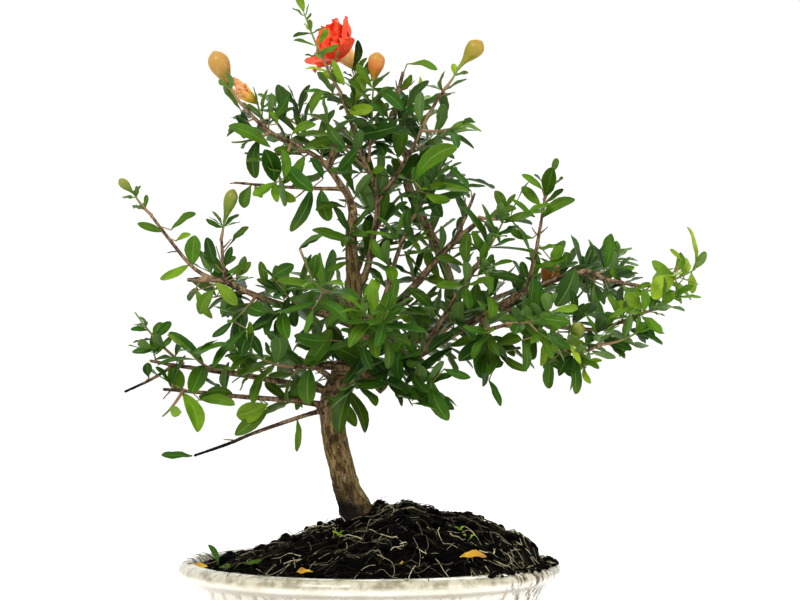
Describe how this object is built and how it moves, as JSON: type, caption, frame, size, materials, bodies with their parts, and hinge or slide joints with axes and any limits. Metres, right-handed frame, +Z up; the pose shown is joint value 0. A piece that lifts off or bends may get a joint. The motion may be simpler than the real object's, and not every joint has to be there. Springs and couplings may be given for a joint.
{
  "type": "pomegranate bonsai in a round pot",
  "caption": "Flowering pomegranate bonsai with a slanting trunk, leafy spreading branches, a red flower and buds, in a shallow round cream glazed pot of dark soil.",
  "frame": {"origin": "centre of the pot's flat base, on its underside", "axes": "+Z up along the pot's axis, +X to the side that the longer right-hand branches reach, +Y to the tree's back"},
  "size_m": [0.3762, 0.25, 0.4224],
  "materials": {
    "pot_glaze": "gloss",
    "drain_screen": "matte",
    "soil": "matte",
    "bark": "matte",
    "leaf_dark": "satin",
    "leaf_mid": "satin",
    "leaf_light": "satin",
    "petal": "satin",
    "flower_cup": "satin",
    "bud_golden": "satin",
    "bud_orange": "satin",
    "bud_olive": "satin"
  },
  "bodies": {
    "root": {"pot": "pot_glaze", "drain_screen_1": "drain_screen", "drain_screen_2": "drain_screen", "drain_screen_3": "drain_screen", "soil": "soil", "trunk_and_branches": "bark", "golden_bud": "bud_golden", "orange_bud": "bud_orange", "right_bud": "bud_olive", "hidden_bud": "bud_orange", "open_flower_cup": "flower_cup", "open_flower_petals": "petal", "half_open_flower_cup": "flower_cup", "half_open_flower_petals": "petal", "spray_top_shoot": "leaf_light", "spray_under_flower": "leaf_mid", "spray_under_orange_bud": "leaf_dark", "spray_leader_left": "leaf_mid", "spray_leader_back": "leaf_mid", "spray_upper_left_tip": "leaf_light", "spray_upper_left_outer": "leaf_dark", "spray_upper_left_under": "leaf_mid", "spray_under_half_open_flower": "leaf_mid", "spray_upper_left_back": "leaf_dark", "spray_right_upper_tip": "leaf_light", "spray_right_upper_side": "leaf_mid", "spray_right_upper_back": "leaf_dark", "spray_dark_limb_top": "leaf_mid", "spray_dark_limb_right": "leaf_dark", "spray_right_up_tip": "leaf_mid", "spray_under_hidden_bud": "leaf_mid", "spray_inner_tip": "leaf_dark", "spray_right_tip": "leaf_light", "spray_right_shoot_tip": "leaf_mid", "spray_right_main_back": "leaf_dark", "spray_right_main_under": "leaf_dark", "spray_brown_stem_tip": "leaf_mid", "spray_right_low_tip": "leaf_mid", "spray_under_pale_bud": "leaf_light", "spray_right_lowest_tip": "leaf_mid", "spray_right_lowest_sprig": "leaf_light", "spray_left_mid_under": "leaf_dark", "spray_left_mid_inner": "leaf_dark", "spray_left_mid_back": "leaf_mid", "spray_left_tip_end": "leaf_mid", "spray_under_left_bud": "leaf_mid", "spray_left_a_side": "leaf_mid", "spray_left_rise": "leaf_dark", "spray_left_b_side": "leaf_mid", "spray_front_branch_tip": "leaf_mid", "spray_front_knot": "leaf_dark", "spray_front_branch_under": "leaf_dark", "spray_front_low_tip": "leaf_mid", "spray_front_high_tip": "leaf_mid", "spray_front_right_tip": "leaf_mid", "spray_back_left_tip": "leaf_dark", "spray_back_right_tip": "leaf_mid", "spray_back_high_tip": "leaf_mid", "spray_back_low_tip": "leaf_dark", "spray_back_far_right_tip": "leaf_mid"}
  },
  "joints": []
}
